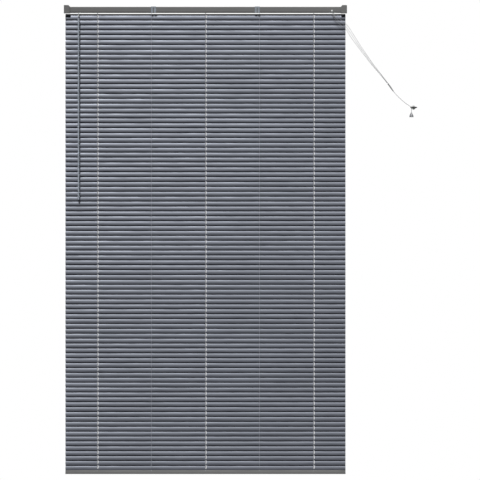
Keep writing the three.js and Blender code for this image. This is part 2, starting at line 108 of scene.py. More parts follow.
class Shader:
    """A node material on one Principled shader, with object-space patterns."""

    def __init__(self, name, **sockets):
        self.material = bpy.data.materials.new(name)
        self.material.use_nodes = True
        self.nodes = self.material.node_tree.nodes
        self.links = self.material.node_tree.links
        self.bsdf = self.nodes["Principled BSDF"]
        for key, value in sockets.items():
            self.bsdf.inputs[key.replace("_", " ")].default_value = value
        self.place = self.nodes.new("ShaderNodeTexCoord").outputs["Object"]
        self.normal = None

    def noise(self, scale, stretch=(1, 1, 1), detail=4, roughness=0.55):
        mapping = self.nodes.new("ShaderNodeMapping")
        mapping.inputs["Scale"].default_value = stretch
        self.links.new(self.place, mapping.inputs["Vector"])
        noise = self.nodes.new("ShaderNodeTexNoise")
        noise.inputs["Scale"].default_value = scale
        noise.inputs["Detail"].default_value = detail
        noise.inputs["Roughness"].default_value = roughness
        self.links.new(mapping.outputs["Vector"], noise.inputs["Vector"])
        return noise.outputs["Fac"]

    def remap(self, value, low, high, start=0.3, end=0.7):
        node = self.nodes.new("ShaderNodeMapRange")
        for key, number in (("From Min", start), ("From Max", end), ("To Min", low), ("To Max", high)):
            node.inputs[key].default_value = number
        self.links.new(value, node.inputs["Value"])
        return node.outputs["Result"]

    def mix(self, factor, first, second):
        node = self.nodes.new("ShaderNodeMix")
        node.data_type = "RGBA"
        self.links.new(factor, node.inputs["Factor"])
        for value, socket in ((first, node.inputs[MIX_FIRST]), (second, node.inputs[MIX_SECOND])):
            if isinstance(value, tuple):
                socket.default_value = (*value, 1)
            else:
                self.links.new(value, socket)
        return node.outputs[MIX_RESULT]

    def colour(self, output):
        self.links.new(output, self.bsdf.inputs["Base Color"])

    def rough(self, output):
        self.links.new(output, self.bsdf.inputs["Roughness"])

    def bump(self, height, distance, strength):
        """Adds relief, distance millimetres deep, over the relief that is there already."""
        node = self.nodes.new("ShaderNodeBump")
        node.inputs["Distance"].default_value = distance * MM
        node.inputs["Strength"].default_value = strength
        self.links.new(height, node.inputs["Height"])
        if self.normal:
            self.links.new(self.normal, node.inputs["Normal"])
        self.normal = node.outputs["Normal"]
        self.links.new(self.normal, self.bsdf.inputs["Normal"])


def shade(colour, factor):
    return tuple(channel * factor for channel in colour)


def painted(name, colour, metallic, roughness, streak, coat=0.15):
    """Enamel on rolled metal: fine orange peel, faint rolling streaks along X, and pale scuffs."""
    s = Shader(name, Metallic=metallic, Coat_Weight=coat, Coat_Roughness=0.25)
    drift = s.remap(s.noise(9, (0.3, 1, 1), 3), 0, 1)
    tone = s.mix(drift, shade(colour, 0.93), shade(colour, 1.06))
    rolled = s.noise(900, (0.004, 1, 1), 2)
    tone = s.mix(s.remap(rolled, 0, streak), tone, shade(colour, 0.7))
    scuffs = s.remap(s.noise(420, (0.3, 1, 1), 4, 0.6), 0, 0.12, 0.68, 0.78)
    tone = s.mix(scuffs, tone, shade(colour, 1.3))
    s.colour(tone)
    s.rough(s.remap(s.noise(60, (0.2, 1, 1), 5), roughness - 0.05, roughness + 0.08))
    s.bump(s.noise(1500, detail=1), 0.008, 0.4)
    s.bump(rolled, 0.008, 0.3)
    return s.material


def moulded(name, colour, roughness, grain=0.03, **sockets):
    """Moulded plastic: fine spark-eroded grain, slow colour drift, darker specks, uneven gloss."""
    s = Shader(name, **sockets)
    drift = s.remap(s.noise(35, detail=3), 0, 1)
    tone = s.mix(drift, shade(colour, 0.9), shade(colour, 1.05))
    specks = s.remap(s.noise(700, detail=2), 0, 0.3, 0.64, 0.74)
    s.colour(s.mix(specks, tone, shade(colour, 0.75)))
    s.rough(s.remap(s.noise(90, detail=4), roughness - 0.08, roughness + 0.1))
    s.bump(s.noise(2600, detail=1), grain, 0.6)
    return s.material


def metal(name, colour, roughness):
    """Bare drawn or zinc-plated steel, with drawing lines along X and cloudy plating."""
    s = Shader(name, Metallic=1.0)
    clouds = s.remap(s.noise(120, detail=5), 0, 1)
    s.colour(s.mix(clouds, shade(colour, 0.82), shade(colour, 1.08)))
    lines = s.noise(1800, (0.01, 1, 1), 2)
    s.rough(s.remap(lines, roughness - 0.08, roughness + 0.14))
    s.bump(lines, 0.015, 0.5)
    return s.material


def fibre(name, colour):
    """Braided polyester: soft, slightly uneven threads with grime in the hollows."""
    s = Shader(name, Roughness=0.85, Sheen_Weight=0.35, Sheen_Roughness=0.4, Specular_IOR_Level=0.2)
    drift = s.remap(s.noise(60, detail=3), 0, 1)
    tone = s.mix(drift, shade(colour, 0.86), shade(colour, 1.06))
    fluff = s.noise(2600, (1, 1, 0.35), 3)
    s.colour(s.mix(s.remap(fluff, 0, 0.5), tone, shade(colour, 0.62)))
    s.bump(fluff, 0.12, 0.7)
    return s.material


PAINT = painted("painted_steel_grey", (0.2, 0.2, 0.199), 0.1, 0.5, 0.12)
RAIL_PAINT = painted("painted_rail_grey", (0.15, 0.15, 0.148), 0.1, 0.6, 0.1, coat=0)
SLAT_PAINT = painted("painted_aluminium_silver", (0.106, 0.115, 0.14), 0.42, 0.37, 0.12, coat=0)
STEEL = metal("plated_steel", (0.55, 0.56, 0.57), 0.3)
NYLON = moulded("white_nylon", (0.72, 0.73, 0.71), 0.42, Subsurface_Weight=0.08, Subsurface_Scale=0.002)
BRIGHT_NYLON = moulded("bright_white_nylon", (0.9, 0.91, 0.9), 0.3)
GREY_PLASTIC = moulded("grey_plastic", (0.17, 0.175, 0.18), 0.48)
PALE_PLASTIC = moulded("pale_grey_plastic", (0.36, 0.365, 0.37), 0.42)
DARK_PLASTIC = moulded("dark_plastic", (0.045, 0.046, 0.05), 0.4)
CLEAR = moulded("clear_plastic", (0.72, 0.78, 0.86), 0.14, 0.008, Transmission_Weight=0.55, IOR=1.49,
                Coat_Weight=0.3, Coat_Roughness=0.08)
SMOKED = moulded("tassel_plastic", (0.68, 0.69, 0.72), 0.22, 0.012, Transmission_Weight=0.5, IOR=1.49)
CORD = fibre("braided_cord", (0.36, 0.365, 0.38))
THREAD = fibre("ladder_thread", (0.5, 0.52, 0.57))


# ---------------------------------------------------------------- mesh tools
class Shell:
    """Vertices and faces of one piece."""

    def __init__(self):
        self.verts, self.faces = [], []

    def add(self, verts, faces):
        base = len(self.verts)
        self.verts.extend(tuple(v) for v in verts)
        self.faces.extend(tuple(base + i for i in face) for face in faces)
        return self

    def mesh(self, name):
        """The piece as a Blender mesh, in metres, with its faces turned outwards."""
        mesh = bpy.data.meshes.new(name)
        mesh.from_pydata([tuple(c * MM for c in v) for v in self.verts], [], self.faces)
        work = bmesh.new()
        work.from_mesh(mesh)
        bmesh.ops.recalc_face_normals(work, faces=work.faces)
        work.to_mesh(mesh)
        work.free()
        return mesh

    def build(self, name, material, body, slot, nodes=(), angle=35):
        """The piece as an object that rides on body. Edges sharper than angle degrees stay sharp."""
        mesh = self.mesh(name)
        mesh.shade_smooth()
        mesh.set_sharp_from_angle(angle=math.radians(angle))
        mesh.materials.append(material)
        obj = bpy.data.objects.new(name, mesh)
        bpy.context.scene.collection.objects.link(obj)
        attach(obj, body)
        if nodes:
            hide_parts(*nodes)
        return obj


def rounded(points, radius, steps=3, closed=False):
    """The polyline with each corner turned into a short curve."""
    out = []
    count = len(points)
    for i, point in enumerate(points):
        p = np.array(point, float)
        if not closed and i in (0, count - 1):
            out.append(p)
            continue
        before, after = (np.array(points[j % count], float) for j in (i - 1, i + 1))
        ends = []
        for other in (before, after):
            gap = max(np.linalg.norm(other - p), 1e-9)
            ends.append(p + (other - p) * min(radius, gap * 0.45) / gap)
        for k in range(steps + 1):
            t = k / steps
            out.append((1 - t) ** 2 * ends[0] + 2 * t * (1 - t) * p + t * t * ends[1])
    return out


def evenly(points, step):
    """The polyline resampled so that its points lie about step apart."""
    points = np.array(points, float)
    gaps = np.linalg.norm(np.diff(points, axis=0), axis=1)
    along = np.concatenate([[0], np.cumsum(gaps)])
    places = np.linspace(0, along[-1], max(2, int(round(along[-1] / step)) + 1))
    return np.column_stack([np.interp(places, along, points[:, k]) for k in range(3)])


def catmull(points, per_span=14):
    """The centripetal Catmull-Rom curve through the points, as three.js draws it."""
    p = [np.array(q, float) for q in points]
    p = [2 * p[0] - p[1], *p, 2 * p[-1] - p[-2]]
    out = []
    for i in range(1, len(p) - 2):
        x0, x1, x2, x3 = p[i - 1:i + 3]
        d0, d1, d2 = (max(np.linalg.norm(b - a), 1e-6) ** 0.5 for a, b in ((x0, x1), (x1, x2), (x2, x3)))
        t1 = ((x1 - x0) / d0 - (x2 - x0) / (d0 + d1) + (x2 - x1) / d1) * d1
        t2 = ((x2 - x1) / d1 - (x3 - x1) / (d1 + d2) + (x3 - x2) / d2) * d1
        for k in range(per_span):
            t = k / per_span
            out.append(x1 + t1 * t + (3 * (x2 - x1) - 2 * t1 - t2) * t * t
                       + (2 * (x1 - x2) + t1 + t2) * t ** 3)
    out.append(p[-2])
    return out


def sweep(points, radius, sides, braid=0, lay=3.2, starts=3):
    """A tube along the points. A braid gives its skin two crossing sets of threads, one turn per lay."""
    points = np.array(points, float)
    tangents = np.gradient(points, axis=0)
    tangents /= np.linalg.norm(tangents, axis=1)[:, None]
    side = np.cross(tangents[0], (0.31, 0.17, 0.93))  # any direction that no cord starts in
    side /= np.linalg.norm(side)
    along = np.concatenate([[0], np.cumsum(np.linalg.norm(np.diff(points, axis=0), axis=1))])
    radii = np.broadcast_to(radius, (len(points),))
    turn = np.arange(sides) / sides * 2 * math.pi
    rings = []
    for centre, tangent, far, r in zip(points, tangents, along, radii):
        side = side - tangent * (side @ tangent)
        side /= np.linalg.norm(side)
        other = np.cross(tangent, side)
        wave = 2 * math.pi * far / lay
        size = r * (1 + braid * np.cos(starts * turn + wave) * np.cos(starts * turn - wave))
        spokes = np.cos(turn)[:, None] * side + np.sin(turn)[:, None] * other
        rings.append(centre + size[:, None] * spokes)
    verts = np.concatenate(rings)
    faces = [
        (i * sides + j, i * sides + (j + 1) % sides, (i + 1) * sides + (j + 1) % sides, (i + 1) * sides + j)
        for i in range(len(points) - 1) for j in range(sides)
    ]
    faces += [tuple(range(sides)), tuple((len(points) - 1) * sides + j for j in range(sides))]
    return verts, faces


def lathe(profile, origin=(0, 0, 0), direction=(0, 0, 1), sides=40, shape=None):
    """Turns (radius, distance) pairs about the line. shape(angle, distance) scales the radius."""
    axis = Vector(direction).normalized()
    turn = Vector((0, 0, 1)).rotation_difference(axis)
    verts, faces, rows = [], [], []
    for radius, distance in profile:
        if radius < 1e-6:
            rows.append([len(verts)])
            verts.append(turn @ Vector((0, 0, distance)) + Vector(origin))
            continue
        row = []
        for j in range(sides):
            angle = j / sides * 2 * math.pi
            r = radius * (shape(angle, distance) if shape else 1)
            row.append(len(verts))
            point = Vector((r * math.cos(angle), r * math.sin(angle), distance))
            verts.append(turn @ point + Vector(origin))
        rows.append(row)
    for low, high in zip(rows, rows[1:]):
        for j in range(sides):
            k = (j + 1) % sides
            if len(low) == 1 and len(high) > 1:
                faces.append((low[0], high[j], high[k]))
            elif len(high) == 1 and len(low) > 1:
                faces.append((low[j], low[k], high[0]))
            elif len(low) > 1:
                faces.append((low[j], low[k], high[k], high[j]))
    for row in (rows[0], rows[-1]):
        if len(row) > 1 and profile[0] != profile[-1]:
            faces.append(tuple(row))
    return verts, faces


def bar(outline, places):
    """The closed (y, z) outline at each x of places, joined into a bar. A place may be (x, inset)."""
    outline = np.array(outline, float)
    centre = outline.mean(axis=0)
    verts, faces, count = [], [], len(outline)
    for place in places:
        x, inset = place if isinstance(place, tuple) else (place, 0)
        away = outline - centre
        pulled = outline - away / np.linalg.norm(away, axis=1)[:, None] * inset
        verts.extend((x, y, z) for y, z in pulled)
    for i in range(len(places) - 1):
        for j in range(count):
            k = (j + 1) % count
            faces.append((i * count + j, i * count + k, (i + 1) * count + k, (i + 1) * count + j))
    faces += [tuple(range(count)), tuple((len(places) - 1) * count + j for j in range(count))]
    return verts, faces


def tilted(points, z):
    """Points of a piece given flat, x along it, turned to the closed tilt about (CENTRE_Y, z)."""
    c, s = math.cos(TILT), math.sin(TILT)
    return [(x, CENTRE_Y + u * c - w * s, z + u * s + w * c) for x, u, w in points]


def slide_on_tilt(obj):
    """Gives the piece a mesh of its own."""
    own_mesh(obj)


def finish_node(name, material, width=0.3, segments=2):
    """A CAD node kept as it is, with its edges broken by width and its own finish."""
    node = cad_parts[name]
    weld = node.modifiers.new("weld", "WELD")
    weld.merge_threshold = 1e-6
    bevel = node.modifiers.new("bevel", "BEVEL")
    bevel.width = width * MM
    bevel.segments = segments
    bevel.limit_method = "ANGLE"
    bevel.angle_limit = math.radians(38)
    normals = node.modifiers.new("normals", "WEIGHTED_NORMAL")
    normals.weight = 60
    for material_slot in node.material_slots:
        material_slot.material = material


# ---------------------------------------------------------------- free cords
STRAND_ROUTES = (
    ((543, -23.5, -33.5), (543.2, -24.6, -35), (544, -27, -38), (546, -29.8, -42.5),
     (549.5, -31.4, -49), (556, -32.3, -61), (570, -32.6, -78.5), (597.5, -32.4, -100),
     (624, -32, -139.5), (651, -31.6, -176.5), (684, -31.2, -220), (712.5, -31, -256.5),
     (731, -31, -278), (748.3, -31, -298.3), (763, -31, -316.4), (778, -31, -334.8)),
    ((546, -23.5, -33.5), (546.3, -24.6, -35), (547.3, -27, -38), (549.6, -29.8, -42.5),
     (553.5, -31.4, -48.5), (561, -32.3, -57.5), (577.5, -32.6, -72.5), (604, -32.4, -96),
     (629.5, -32, -134), (655.8, -31.6, -173), (687.5, -31.2, -217), (715, -31, -254.3),
     (733, -31, -276.3), (750, -31, -297), (764.4, -31, -315.2), (779.4, -31, -333.9)),
    ((549, -23.5, -33.5), (549.4, -24.6, -35), (550.6, -27, -38), (553.2, -29.8, -42.3),
     (558, -31.4, -47.5), (567, -32.3, -54.5), (585, -32.6, -67.5), (610.5, -32.4, -92),
     (635, -32, -129), (660.5, -31.6, -169.5), (691, -31.2, -214), (717.5, -31, -252.2),
     (735, -31, -274.6), (751.7, -31, -295.7), (765.8, -31, -314), (780.8, -31, -333)),
)
PULL_ROUTE = (
    (805.3, -31, -370.4), (812, -30.9, -378.6), (821, -30.6, -388.4), (831, -30, -398.2),
    (841, -29, -407.2), (850.5, -27.8, -415), (859, -26.3, -421.6), (866.5, -24.4, -427),
    (872.4, -22.4, -431), (876.8, -20.1, -433.2), (880, -17.3, -433.6), (881.6, -14.8, -435.4),
    (882.3, -13.9, -439), (882.5, -13.8, -443.5), (882.5, -13.8, -451), (882.5, -13.8, -458),
)
CONNECTOR = ((780, -31, -335), (805, -31, -370))
CORD_RADIUS = 0.68
CORD_BRAID = 0.07
SMOOTH = 80  # degrees: a thread's skin has no sharp edge below this


def make_connector():
    """The barrel that the three strands end in, with a ribbed grip and a nose for the pull cord."""
    start, end = (Vector(p) for p in CONNECTOR)
    along = end - start
    far = along.length - 0.3
    rib_start, rib_end = 7.2, 19
    profile = [(0, 0.9), (2.1, 0.9), (3, 1.7), (3, 6), (2.75, 6.3), (2.75, 6.9), (3, rib_start), (3, 8),
               (3, rib_end), (2.75, 19.3), (2.75, 19.9), (3, 20.2), (3, 24), (2.1, far - 4),
               (1.95, far - 1), (1.5, far), (0, far)]

    def ribs(angle, distance):
        return 1 - 0.035 * (0.5 + 0.5 * math.cos(12 * angle)) * (rib_start < distance < rib_end)

    shell = Shell().add(*lathe(profile, start, along, 48, ribs))
    return shell.build(
        "cord_connector_barrel", PALE_PLASTIC, "root", "grey_plastic", ["cord_connector"], 30)


def make_tassel():
    """A bell with a rolled rim and a hollow underside, just below the pull cord's knot."""
    x, y, cord_end = PULL_ROUTE[-1]
    top = cord_end - 0.3
    profile = [(0, -18), (6.6, -18), (7.2, -20.6), (7.8, -21), (8.6, -20.7), (9.15, -19.6), (9, -18),
               (8.3, -14.6), (7.2, -11.4), (5.9, -8.9), (4.7, -6.8), (3.7, -4.6), (3.2, -3.2), (3.2, -2.4),
               (2.7, -2.2), (2.7, -1.6), (2.4, -1.2), (2, -0.2), (0.9, 0), (0, 0)]
    profile = [(r, top + d) for r, d in profile]

    def grip(angle, distance):
        return 1 - 0.02 * (0.5 + 0.5 * math.cos(16 * angle)) * (top - 19 < distance < top - 6)

    shell = Shell().add(*lathe(profile, (x, y, 0), sides=64, shape=grip))
    return shell.build("cord_tassel_bell", SMOKED, "root", "clear_plastic", ["cord_tassel"], 40)


def make_free_cord(node, route, radius, lay):
    """A braided cord along its route, built in metres."""
    path = evenly(catmull(route), 0.8)
    shell = Shell().add(*sweep(path, radius, 12, CORD_BRAID, lay))
    obj = shell.build(f"{node}_braid", CORD, "root", "grey_cord", [node], SMOOTH)


def make_free_cords():
    connector, tassel = make_connector(), make_tassel()
    for i, route in enumerate(STRAND_ROUTES, 1):
        make_free_cord(f"pull_strand_{i}", route, CORD_RADIUS, 3.2)
    make_free_cord("pull_cord", PULL_ROUTE, 0.88, 3.8)


make_free_cords()


# ---------------------------------------------------------------- slats
HALF_ROWS = (2.75, 5.5, 6.4, 7.5, 8, 10.25, 11.4, 12.2, SLAT_HALF)
ROWS = (*(-u for u in reversed(HALF_ROWS)), 0, *HALF_ROWS)
ROUTE_HALF_LENGTH, ROUTE_HALF_WIDTH, ROUTE_MARGIN = 8, 2.5, 6
CORNER = 3


def slat_z(number):
    return FIRST_SLAT_Z - PITCH * number


def slat_columns():
    """Along the slat: (x, the routed hole's centre or None, side of the hole)."""
    spans, clear_of_holes = 16, ROUTE_MARGIN + 3
    places = [(-SLAT_END + 2 * SLAT_END * i / spans, None, 0) for i in range(spans + 1)]
    holes = sorted(x for _, x, _, _ in LIFT_CORDS)
    places = [p for p in places if all(abs(p[0] - h) > clear_of_holes for h in holes)]
    for hole in holes:
        places += [(hole - ROUTE_MARGIN, None, 0), (hole - 1, hole, -1), (hole + 1, hole, 1),
                   (hole + ROUTE_MARGIN, None, 0)]
    return sorted(places)


def hole_half_width(u):
    past = abs(u) - (ROUTE_HALF_LENGTH - ROUTE_HALF_WIDTH)
    if past <= 0:
        return ROUTE_HALF_WIDTH
    return math.sqrt(max(ROUTE_HALF_WIDTH ** 2 - past ** 2, 0))


def crown(u):
    """Height of the crowned section over its chord."""
    drop = math.sqrt(CROWN_RADIUS ** 2 - SLAT_HALF ** 2)
    return math.sqrt(CROWN_RADIUS ** 2 - u * u) - drop


def slat_sheet():
    """One slat's middle surface as flat points (x, u) and faces, with its three routed holes."""
    columns = slat_columns()
    points, faces, grid = [], [], []
    for x, hole, side in columns:
        line = []
        for u in ROWS:
            at = x
            if hole is not None:
                at = hole + side * hole_half_width(u) if abs(u) < ROUTE_HALF_LENGTH else hole
            elif abs(x) == SLAT_END:
                past = max(abs(u) - (SLAT_HALF - CORNER), 0)
                at = math.copysign(SLAT_END - CORNER + math.sqrt(max(CORNER ** 2 - past ** 2, 0)), x)
            shared = hole is not None and side > 0 and abs(u) >= ROUTE_HALF_LENGTH
            line.append(grid[-1][len(line)] if shared else len(points))
            if not shared:
                points.append((at, u))
        grid.append(line)
    for i in range(len(columns) - 1):
        in_hole = columns[i][1] is not None and columns[i][2] < 0
        if in_hole:
            continue
        for j in range(len(ROWS) - 1):
            faces.append((grid[i][j], grid[i + 1][j], grid[i + 1][j + 1], grid[i][j + 1]))
    return points, faces


SHEET_POINTS, SHEET_FACES = slat_sheet()


def sheet_edges():
    """The edges that only one face has: the slat's outline and its holes."""
    seen = {}
    for face in SHEET_FACES:
        for a, b in zip(face, face[1:] + face[:1]):
            key = (min(a, b), max(a, b))
            seen[key] = None if key in seen else (a, b)
    return [edge for edge in seen.values() if edge]


SHEET_BORDER = sheet_edges()


def sag(x):
    """How far a slat hangs down between its ladders."""
    ladder_end, ladder_gap = LADDER_X[-1], LADDER_X[-1] - LADDER_X[-2]
    return 0.1 * math.sin(math.pi * (x + ladder_end) / ladder_gap) ** 2 * (abs(x) < ladder_end)


def slat_shell(z):
    """A slat at its closed tilt, with the small roll, sag and ripple of a real one."""
    roll = math.radians(rng.uniform(-0.2, 0.2))
    drop = rng.uniform(-0.08, 0.08)
    phase = rng.uniform(0, 6.28)
    ripple, ripple_length = 0.012, 95
    c, s = math.cos(roll), math.sin(roll)
    verts = []
    for half in (SLAT_HALF_THICKNESS, -SLAT_HALF_THICKNESS):
        rolled = []
        for x, u in SHEET_POINTS:
            w = crown(u) + half + ripple * math.sin(x / ripple_length + phase)
            u += half * u / CROWN_RADIUS
            rolled.append((x, u * c - w * s, u * s + w * c))
        verts += [(x, y, height + drop - sag(x)) for x, y, height in tilted(rolled, z)]
    count = len(SHEET_POINTS)
    faces = list(SHEET_FACES) + [tuple(count + i for i in reversed(face)) for face in SHEET_FACES]
    faces += [(b, a, count + a, count + b) for a, b in SHEET_BORDER]
    return Shell().add(verts, faces)


def rung_shell(z):
    """The two threads of each ladder that carry one slat, spread apart between the strings."""
    under_slat, spread, knot, radius = 0.9, 0.6, 1.2, 0.26
    shell = Shell()
    slope = math.tan(TILT)
    line_y = CENTRE_Y + under_slat * math.sin(TILT)
    line_z = z - under_slat * math.cos(TILT)
    for x in LADDER_X:
        for side in (-spread, spread):
            ends = [(x + side * share, y, line_z + (y - line_y) * slope)
                    for y, share in ((LADDER_FRONT, 0.2), (LADDER_FRONT + knot, 1), (LADDER_BACK - knot, 1),
                                     (LADDER_BACK, 0.2))]
            shell.add(*sweep(ends, radius, 6))
    return shell


def make_slats():
    """Every slat and its rungs, on their group's body. All but each group's CAD slat get a mesh of their
    own.
    """
    first = 0
    for index, size in enumerate(GROUP_SIZES, 1):
        body = f"slat_group_{index}"
        middle = first + MODELLED_SLAT
        for number in range(first, first + size):
            z = slat_z(number)
            nodes = [f"slat_{index}"] if number == middle else ()
            pieces = [
                slat_shell(z).build(
                    f"slat_blade_{number + 1:02d}", SLAT_PAINT, body, "painted_aluminium", nodes, 40),
                rung_shell(z).build(
                    f"ladder_rungs_{number + 1:02d}", THREAD, body, "grey_cord", (), SMOOTH),
            ]
            if number == middle:
                continue
            for piece in pieces:
                slide_on_tilt(piece)
        first += size


make_slats()


# ---------------------------------------------------------------- ladders and lift cords
# How far a front string moves, in y and z, as the slats open. A back string moves the other way.
OUTWARD, UPWARD = -8.2, 11.75
STRING_BRAID, STRING_LAY, STRING_STARTS = 0.08, 4.2, 2
HEAD_TOP = -24.5


def string_shell(y, top, bottom, step, radius):
    """One string of every ladder, between two heights."""
    shell = Shell()
    for x in LADDER_X:
        path = evenly([(x, y, top), (x, y, bottom)], step)
        shell.add(*sweep(path, radius, 8, STRING_BRAID, STRING_LAY, STRING_STARTS))
    return shell


def make_ladder_strings():
    """The strings beside each group of slats, which move up or down as the slats tilt."""
    first = 0
    last = len(GROUP_SIZES)
    for index, size in enumerate(GROUP_SIZES, 1):
        body = "root" if index == 1 else f"carriage_{index}"
        bottom = RAIL_Z + CORD_END if index == last else slat_z(first + size - 0.5)
        for name, y, sign, head_end in (("front", LADDER_FRONT, 1, -49), ("back", LADDER_BACK, -1, -37)):
            top = head_end if index == 1 else slat_z(first - 0.5)
            nodes = [f"ladder_segment_{index}"] if name == "front" else ()
            obj = string_shell(y, top, bottom, 2.4, 0.52).build(
                f"ladder_{name}_{index}", THREAD, body, "grey_cord", nodes, SMOOTH)
            slide_on_tilt(obj)
        first += size


def make_head_strings():
    """The strings from the drums to the first slat, at their closed length, though real ones shorten as
    slats open.
    """
    for name, y, bottom, axis, travel in (
        ("front", LADDER_FRONT, -61, (0, OUTWARD, UPWARD), math.hypot(OUTWARD, UPWARD)),
        ("back", LADDER_BACK, -57.4, (0, 1, 1), -OUTWARD * math.sqrt(2)),
    ):
        obj = string_shell(y, HEAD_TOP, bottom, 1.6, 0.5).build(
            f"ladder_head_{name}", THREAD, "root", "grey_cord", (), SMOOTH)
        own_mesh(obj)


def make_lift_cords():
    """Each lift cord from the bottom rail up to the headrail, and its run along it to the lock."""
    bend = 3
    for name, x, run_y, exit_x in LIFT_CORDS:
        hang = [(x, CENTRE_Y, RUN_Z - bend), (x, CENTRE_Y, RAIL_Z + CORD_END)]
        shell = Shell().add(*sweep(evenly(hang, 1.5), CORD_RADIUS, 10, CORD_BRAID))
        obj = shell.build(
            f"lift_cord_{name}_hang", CORD, "root", "grey_cord", [f"lift_cord_{name}"], SMOOTH)
        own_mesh(obj)
        corners = [(x, CENTRE_Y, RUN_Z - bend - 0.2), (x, CENTRE_Y, RUN_Z), (x + 5, run_y, RUN_Z),
                   (exit_x - 4, run_y, RUN_Z), (exit_x, LOCK_EXIT_Y, RUN_Z), (exit_x, LOCK_EXIT_Y, -33.2)]
        run = evenly(rounded(corners, bend, 5), 1.5)
        Shell().add(*sweep(run, 0.66, 10, CORD_BRAID)).build(
            f"lift_cord_{name}_run", CORD, "root", "grey_cord", (), SMOOTH)


make_ladder_strings()
make_head_strings()
make_lift_cords()


# ---------------------------------------------------------------- headrail
def strip_outline(line, thickness):
    """The closed outline of a bent strip whose middle line is given."""
    line = np.array(line, float)
    tangent = np.gradient(line, axis=0)
    tangent /= np.linalg.norm(tangent, axis=1)[:, None]
    normal = np.column_stack([-tangent[:, 1], tangent[:, 0]]) * thickness / 2
    return np.concatenate([line + normal, (line - normal)[::-1]])


def block(x0, x1, y0, y1, z0, z1):
    """The vertices and faces of a box, for cutting holes."""
    verts = [(x, y, z) for x in (x0, x1) for y in (y0, y1) for z in (z0, z1)]
    return verts, [(0, 1, 3, 2), (4, 6, 7, 5), (0, 4, 5, 1), (2, 3, 7, 6), (0, 2, 6, 4), (1, 5, 7, 3)]


def cut_holes(obj, holes):
    """Takes the closed shapes of holes out of the piece."""
    cutter = bpy.data.objects.new("holes", holes.mesh("holes"))
    bpy.context.scene.collection.objects.link(cutter)
    modifier = obj.modifiers.new("holes", "BOOLEAN")
    modifier.object, modifier.solver = cutter, "EXACT"
    bpy.context.view_layer.update()
    graph = bpy.context.evaluated_depsgraph_get()
    cut = bpy.data.meshes.new_from_object(obj.evaluated_get(graph))
    obj.modifiers.clear()
    obj.data = cut
    cut.shade_smooth()
    cut.set_sharp_from_angle(angle=math.radians(35))
    bpy.data.objects.remove(cutter)


def make_headrail():
    """The U channel, open at the top, with lips along its upper edges and its holes punched in."""
    front, back, top, bottom = -26.6, -2.4, -7.9, -32.1
    corners = [(back - 3.1, top), (back, top), (back, bottom), (front + 2.2, bottom),
               (front + 0.5, -29.6), (front, -26.4), (front, top), (front + 3.1, top)]
    line = rounded(corners, 1.3, 5)
    end = 598
    shell = Shell().add(*bar(strip_outline(line, 0.8), [-end, 0.3 - end, end - 0.3, end]))
    obj = shell.build("headrail_channel", PAINT, "root", "painted_steel", ["headrail"], 35)
    holes = Shell()
    for x in LADDER_X:
        holes.add(*block(x - 5, x + 5, -22, -7, -34, -31))
    holes.add(*block(537, 555, -25.7, -20, -34, -31))
    start = [WAND_X, WAND_Y + 8 * WORM_AXIS[1], WORM_Z + 8 * WORM_AXIS[2]]
    holes.add(*lathe([(0, 0), (3.4, 0), (3.4, 14), (0, 14)], start, WORM_AXIS, 24))
    cut_holes(obj, holes)


def make_lock_button():
    """The pale button of the cord lock, set in the headrail's front."""
    profile = [(0, -0.2), (3.7, -0.2), (3.8, 0.2), (3.4, 0.8), (2.6, 1.2), (1.4, 1.35), (1.1, 0.95),
               (0, 0.9)]
    Shell().add(*lathe(profile, (541.6, -27, -24), (0, -1, 0), 36)).build(
        "cord_lock_button", BRIGHT_NYLON, "root", "white_nylon", (), 40)


def finish_headrail_fittings():
    for side in SIDES:
        finish_node(f"headrail_end_cap_{side}", GREY_PLASTIC, 0.5, 3)
        finish_node(f"bracket_{side}", PAINT, 0.3, 3)
        finish_node(f"bracket_gate_{side}", PAINT, 0.3, 3)
        finish_node(f"valance_clip_{side}", CLEAR, 0.25, 2)


make_headrail()
make_lock_button()
finish_headrail_fittings()


# ---------------------------------------------------------------- wand
WAND_TOP, WAND_CAP_BOTTOM, WAND_BOTTOM, WAND_RADIUS = -56, -70, -832, 3.75


def make_wand_rod():
    """A clear rod of soft hexagonal section, with a rounded end and a groove above it."""
    low, high, radius = WAND_BOTTOM, WAND_CAP_BOTTOM, WAND_RADIUS

    def hexagon(angle, _):
        share = (angle % (math.pi / 3)) / (math.pi / 3)
        return 1 - 0.085 * math.sin(math.pi * share) ** 1.4

    profile = [(0, low + 0.1), (2, low), (3, low + 0.7), (3.6, low + 2), (radius, low + 3.4),
               (radius, low + 9), (3.35, low + 9.6), (3.35, low + 10.6), (radius, low + 11.4)]
    profile += [(radius, low + 12 + i * (high - low - 13) / 20) for i in range(21)]
    profile += [(0, high - 0.3)]
    Shell().add(*lathe(profile, (WAND_X, WAND_Y, 0), sides=72, shape=hexagon)).build(
        "tilt_wand_rod", CLEAR, "wand", "clear_plastic", ["tilt_wand"], 30)


def make_wand_cap():
    low, high, radius = WAND_CAP_BOTTOM, WAND_TOP, 4.6
    profile = [(0, low), (4.2, low), (radius, low + 0.5), (radius, low + 2.2), (4.2, low + 2.6),
               (4.2, low + 3.4), (radius, low + 3.8), (radius, high - 4.6), (4.3, high - 3.4),
               (3.6, high - 1.6), (2.9, high - 0.5), (2.2, high), (1.2, high - 0.3), (0, high - 0.35)]
    Shell().add(*lathe(profile, (WAND_X, WAND_Y, 0), sides=48)).build(
        "wand_cap_turned", CLEAR, "wand", "clear_plastic", ["wand_cap"], 35)


